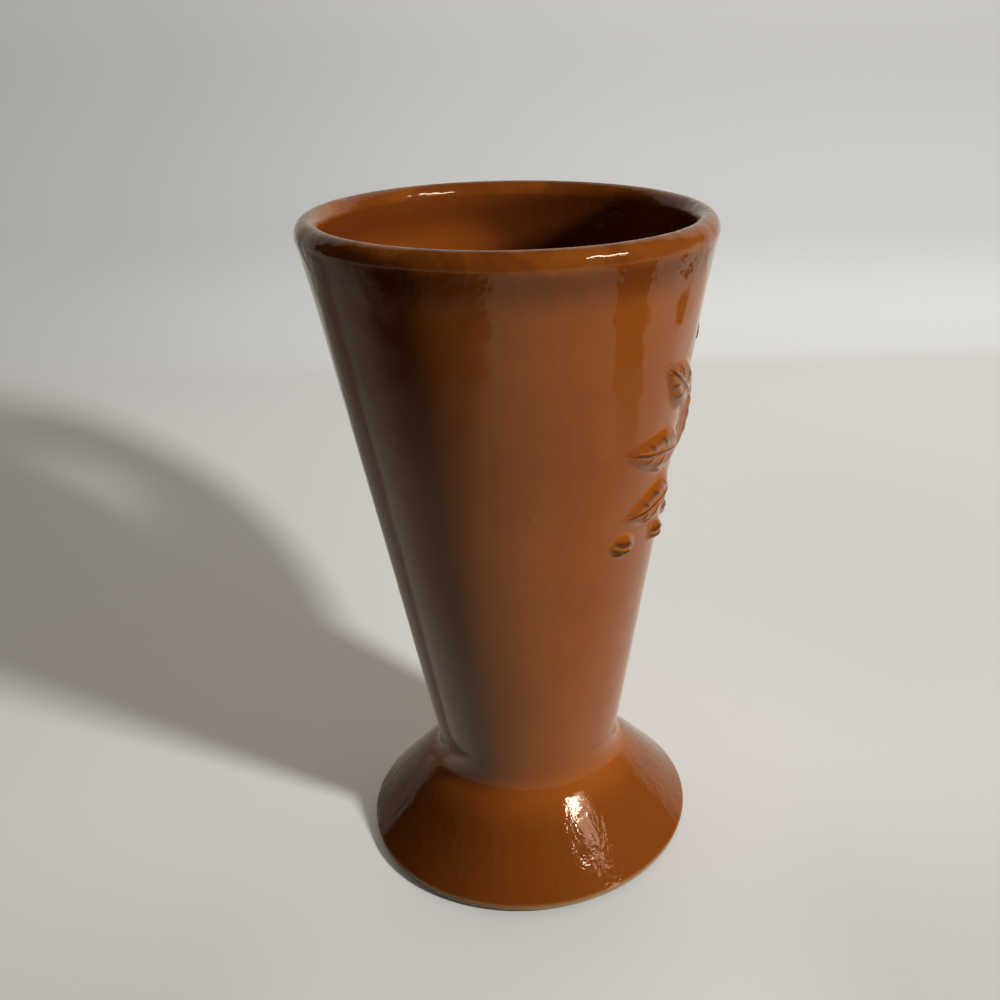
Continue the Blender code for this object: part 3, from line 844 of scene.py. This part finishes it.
# Places between which one tone turns into the next, in metres across, away and up.
MIDDLE_AWAY = (-0.05, 0.36)
BAND_AWAY = (0.335, 0.375)
BAND_ACROSS = (-0.30, 0.02)
RISE_UP = (0.004, 0.045)
TOP_UP = (0.030, 0.170)
LEFTWARD = (-0.15, 0.45)
LEFTWARD_SHARE = 0.38
RIGHT_ACROSS = (0.0, 0.16)
RIGHT_AHEAD = (-0.34, 0.02)
RIGHT_SHARE = 0.55
SIDES_ACROSS_SQUARED = (0.0004, 0.0060)
SIDES_AHEAD = (0.0, 0.09)
SIDES_SHARE = 0.60
FIBRE_SCALE = 420.0
FIBRE_HEIGHT = 0.00004
FIBRE_SHARE = 0.05
CAST_SCALE = 2.2

FLOOR_HALF_WIDTH = 1.42
FLOOR_FRONT = -2.0
SWEEP_START = 0.36
SWEEP_RADIUS = 0.45
SWEEP_STEPS = 24
BACKDROP_TOP = 1.46


def stage_sheet(name, points, faces, material):
    """A thin sheet of the stage, which is no part of the mug."""
    mesh = bpy.data.meshes.new(name)
    mesh.from_pydata(points, [], faces)
    mesh.shade_smooth()
    mesh.materials.append(material)
    sheet = bpy.data.objects.new(name, mesh)
    bpy.context.scene.collection.objects.link(sheet)
    sheet.visible_diffuse = False
    return sheet


paper = bpy.data.materials.new("pale_paper")
recipe = Recipe(paper)
place = recipe.add("ShaderNodeTexCoord", {}, {}, output=3)
across, away, up = [recipe.part(place, axis) for axis in range(3)]
fibre = recipe.noise(place, FIBRE_SCALE, 3.0, 0.6)
cast = recipe.noise(place, CAST_SCALE, 2.0, 0.5)
# Painted light and shade by place: lighter further back, a lit band where the sweep rises, shade
# to the left, near the right and at the top.
tone = recipe.blend(away.between(*MIDDLE_AWAY), PAPER_NEAR, PAPER_MIDDLE)
tone = recipe.blend(away.between(*BAND_AWAY) * across.between(*BAND_ACROSS), tone, PAPER_LIT_BAND)
tone = recipe.blend(up.between(*RISE_UP), tone, PAPER_RISE)
tone = recipe.blend(up.between(*TOP_UP), tone, PAPER_TOP_SHADE)
tone = recipe.blend((-across).between(*LEFTWARD) * LEFTWARD_SHARE, tone, PAPER_LEFT_SHADE)
near_right_shade = across.between(*RIGHT_ACROSS) * (-away).between(*RIGHT_AHEAD)
near_sides_shade = (across * across).between(*SIDES_ACROSS_SQUARED) * (-away).between(*SIDES_AHEAD)
tone = recipe.blend(near_right_shade * RIGHT_SHARE + near_sides_shade * SIDES_SHARE, tone, PAPER_RIGHT_SHADE)
tone = recipe.blend(fibre * FIBRE_SHARE + cast * FIBRE_SHARE, tone, PAPER_FIBRE)
# Painted reflection: rays other than the camera's see the paper warmer.
seen = recipe.add("ShaderNodeLightPath", {}, {}, output=0)
tone = recipe.blend(seen, recipe.blend(1.0, tone, PAPER_MIRRORED, "MULTIPLY"), tone)
grain = {"Height": fibre, "Distance": FIBRE_HEIGHT, "Strength": 0.3}
recipe.surface(recipe.add("ShaderNodeBsdfPrincipled", {}, {
    "Base Color": tone, "Roughness": PAPER_ROUGHNESS, "Specular IOR Level": PAPER_SHINE,
    "Normal": recipe.add("ShaderNodeBump", {}, grain),
}))
sweep = [(FLOOR_FRONT, 0.0), (SWEEP_START, 0.0)]
for i in range(1, SWEEP_STEPS + 1):
    a = pi / 2 * i / SWEEP_STEPS
    sweep.append((SWEEP_START + SWEEP_RADIUS * sin(a), SWEEP_RADIUS * (1 - cos(a))))
sweep.append((SWEEP_START + SWEEP_RADIUS, BACKDROP_TOP))
stage_sheet(
    "paper_sweep",
    [(x, AXIS_Y + y, z) for y, z in sweep for x in (-FLOOR_HALF_WIDTH, FLOOR_HALF_WIDTH)],
    [(2 * i, 2 * i + 1, 2 * i + 3, 2 * i + 2) for i in range(len(sweep) - 1)],
    paper,
)


# ---------------------------------------------------------------------------------------------
# Dark sheets
# Two dark sheets at the mug's left and right are painted reflections of shade: only the glaze sees
# them, as the dark, unveiled patches under its lip. The left one stands for a shadow lying on the
# table. Each is thinner towards the mug, and the right one has ragged edges.
# ---------------------------------------------------------------------------------------------
SHADE_SHEET_DARK = (0.012, 0.008, 0.006)
SHADE_SHEET_FLECK = (0.02, 0.014, 0.010)
SHADE_SHEET_FLECK_SCALE = 300.0
RAGGED_SCALE = 26.0
SHADE_SHEET_LIFT = 0.0015
SHADE_SHEET_THIN_TO = 0.14
SHADE_SHEET_FULL_FROM = 0.26

LEFT_CORNERS = ((-0.52, -0.46), (-0.040, 0.400))
LEFT_NEAR_SHARE = 0.33
LEFT_EDGE = 0.046
LEFT_EDGE_SOFT = 0.075
LEFT_EDGE_CRISPER = 0.058
LEFT_CRISP_FROM = (0.16, 0.22)
LEFT_FRONT = (-0.030, 0.110)
LEFT_FRONT_SHARE = 0.70
LEFT_BACK = (-0.40, -0.20)
LEFT_BACK_SHARE = 0.30
LEFT_FAR = (-0.52, -0.32)
LEFT_EDGE_RAGGED = 0.006
LEFT_FRONT_RAGGED = 0.05

RIGHT_CORNERS = ((0.10, -0.34), (0.40, 0.190))
RIGHT_NEAR_SHARE = 0.12
WEDGE_TIP = 0.120
WEDGE_SLOPE = 1.6
WEDGE_BACK = -0.010
WEDGE_BACK_SLOPE = 0.15
WEDGE_RAGGED = 0.110
WEDGE_FRONT_SOFT = 0.008
WEDGE_BACK_SOFT = 0.012
PATCH_ACROSS = 0.300
PATCH_NEAR = 0.085
PATCH_FAR = 0.150
PATCH_SOFT = 0.010
PATCH_SIDE_RAGGED = 0.160
PATCH_RAGGED = 0.050


def shade_sheet(name, corners, near_share, mask):
    """A flat dark rectangle of painted shade that only the glaze sees; mask(ragged, across, ahead,
    distance) is 1 where it lies.
    """
    material = bpy.data.materials.new(name + "_weave")
    recipe = Recipe(material)
    place = recipe.add("ShaderNodeTexCoord", {}, {}, output=3)
    place = recipe.vector("SUBTRACT", place, (0.0, AXIS_Y, 0.0))
    distance = recipe.vector("LENGTH", place, output=1)
    across, ahead = recipe.part(place, 0), -recipe.part(place, 1)
    ragged = recipe.noise(place, RAGGED_SCALE, 5.0, 0.72) - 0.5
    dense = distance.between(SHADE_SHEET_THIN_TO, SHADE_SHEET_FULL_FROM) * (1 - near_share) + near_share
    dense = dense * mask(ragged, across, ahead, distance)
    colour = recipe.blend(recipe.noise(place, SHADE_SHEET_FLECK_SCALE), SHADE_SHEET_DARK, SHADE_SHEET_FLECK)
    gap = recipe.add("ShaderNodeBsdfTransparent")
    body = {"Base Color": colour, "Specular IOR Level": 0.0}
    body = recipe.add("ShaderNodeBsdfPrincipled", {}, body)
    recipe.surface(recipe.add("ShaderNodeMixShader", {}, {0: dense, 1: gap, 2: body}))
    (left, front), (right, back) = corners
    points = [(left, front), (right, front), (right, back), (left, back)]
    points = [(x, AXIS_Y + y, SHADE_SHEET_LIFT) for x, y in points]
    sheet = stage_sheet(name, points, [(0, 1, 2, 3)], material)
    sheet.visible_camera = False
    sheet.visible_shadow = False


def left_mask(ragged, across, ahead, distance):
    """Ends in a straight edge, crisp far from the mug, soft near it; thin behind and far left."""
    soft = LEFT_EDGE_SOFT - distance.between(*LEFT_CRISP_FROM) * LEFT_EDGE_CRISPER
    inner = (-across - LEFT_EDGE + ragged * LEFT_EDGE_RAGGED).between(0.0, soft)
    front = (ahead + ragged * LEFT_FRONT_RAGGED).between(*LEFT_FRONT) * LEFT_FRONT_SHARE
    back = ahead.between(*LEFT_BACK) * LEFT_BACK_SHARE
    return inner * (front + back) * across.between(*LEFT_FAR)


def right_mask(ragged, across, ahead, distance):
    """A torn wedge that narrows towards the mug, and a small torn patch behind it."""
    front = (across - WEDGE_TIP) * WEDGE_SLOPE - ahead + ragged * WEDGE_RAGGED
    back = ahead - WEDGE_BACK - across * WEDGE_BACK_SLOPE - ragged * WEDGE_RAGGED
    side = across - PATCH_ACROSS + ragged * PATCH_SIDE_RAGGED
    near = -ahead - PATCH_NEAR + ragged * PATCH_RAGGED
    far = ahead + PATCH_FAR + ragged * PATCH_RAGGED
    wedge = front.between(0.0, WEDGE_FRONT_SOFT) * back.between(0.0, WEDGE_BACK_SOFT)
    patch = side.between(0.0, PATCH_SOFT) * near.between(0.0, PATCH_SOFT)
    return wedge + patch * far.between(0.0, PATCH_SOFT)


# Painted reflections of shade, seen only in the glaze.
shade_sheet("left_cloth", LEFT_CORNERS, LEFT_NEAR_SHARE, left_mask)
shade_sheet("right_cloth", RIGHT_CORNERS, RIGHT_NEAR_SHARE, right_mask)


# ---------------------------------------------------------------------------------------------
# Light
# One small round lamp at the right of the camera, low and near, throws the shadow to the back left.
# Two panels over it, one long and bright, one smaller and dim, are seen only in the glaze. The
# room is dim, darkest in front of the mug and where the glaze mirrors it.
# ---------------------------------------------------------------------------------------------
LAMP_AZIMUTH = -37.5
LAMP_ELEVATION = 34.4
LAMP_DISTANCE = 0.45
LAMP_RADIUS = 0.024
LAMP_STRENGTH = 48.5
PANEL_DISTANCE = 1.0
PANELS = {
    "lamp_glint": {
        "azimuth": -35.0, "elevation": 41.6, "size": (0.370, 0.072), "radiance": 46.0,
        "colour": (1.0, 0.97, 0.93),
    },
    "lamp_shade": {
        "azimuth": -34.5, "elevation": 36.5, "size": (0.170, 0.120), "radiance": 6.5,
        "colour": (1.0, 0.74, 0.62),
    },
}
ROOM_FRONT = (0.080, 0.080, 0.080)
ROOM_BACK = (2.28, 2.08, 1.88)
ROOM_TURN = (0.10, 0.80)
ROOM_MIRRORED = (0.010, 0.009, 0.008)
ROOM_SEEN = (0.58, 0.575, 0.555)


def light(name, kind, strength, azimuth, elevation, distance):
    """A light in a direction from the mug, in degrees, that the camera doesn't see."""
    azimuth, elevation = radians(azimuth), radians(elevation)
    level = distance * cos(elevation)
    data = bpy.data.lights.new(name, kind)
    data.energy = strength
    item = bpy.data.objects.new(name, data)
    bpy.context.scene.collection.objects.link(item)
    item.location = level * cos(azimuth), AXIS_Y + level * sin(azimuth), distance * sin(elevation)
    item.visible_camera = False
    return item


def panel(name, azimuth, elevation, size, radiance, colour):
    """A flat light that faces the mug and that only its glaze mirrors."""
    strength = radiance * pi * size[0] * size[1]
    item = light(name, "AREA", strength, azimuth, elevation, PANEL_DISTANCE)
    facing = Vector((0.0, AXIS_Y, 0.0)) - item.location
    item.rotation_euler = facing.to_track_quat("-Z", "Y").to_euler()
    item.data.shape = "RECTANGLE"
    item.data.size, item.data.size_y = size
    item.data.color = colour
    item.visible_diffuse = False


lamp = light(
    "round_lamp", "POINT", LAMP_STRENGTH, LAMP_AZIMUTH, LAMP_ELEVATION, LAMP_DISTANCE
)
lamp.data.shadow_soft_size = LAMP_RADIUS
lamp.visible_glossy = False
recipe = Recipe(lamp.data)
even = recipe.add("ShaderNodeLightFalloff", {}, {"Strength": 1.0}, output=2)
shine = recipe.add("ShaderNodeEmission", {}, {"Strength": even})
recipe.add("ShaderNodeOutputLight", {}, {"Surface": shine})
for panel_name, facts in PANELS.items():
    panel(panel_name, **facts)

room = bpy.data.worlds.new("room")
recipe = Recipe(room)
behind = recipe.part(recipe.add("ShaderNodeTexCoord", {}, {}, output=0), 1)
seen = recipe.add("ShaderNodeLightPath", {}, {}, output=0)
mirrored = recipe.add("ShaderNodeLightPath", {}, {}, output=3)
room_colour = recipe.blend(behind.between(*ROOM_TURN), ROOM_FRONT, ROOM_BACK)
room_colour = recipe.blend(mirrored, room_colour, ROOM_MIRRORED)
room_colour = recipe.blend(seen, room_colour, ROOM_SEEN)
air = recipe.add("ShaderNodeBackground", {}, {"Color": room_colour, "Strength": 1.0})
recipe.add("ShaderNodeOutputWorld", {}, {"Surface": air})
bpy.context.scene.world = room
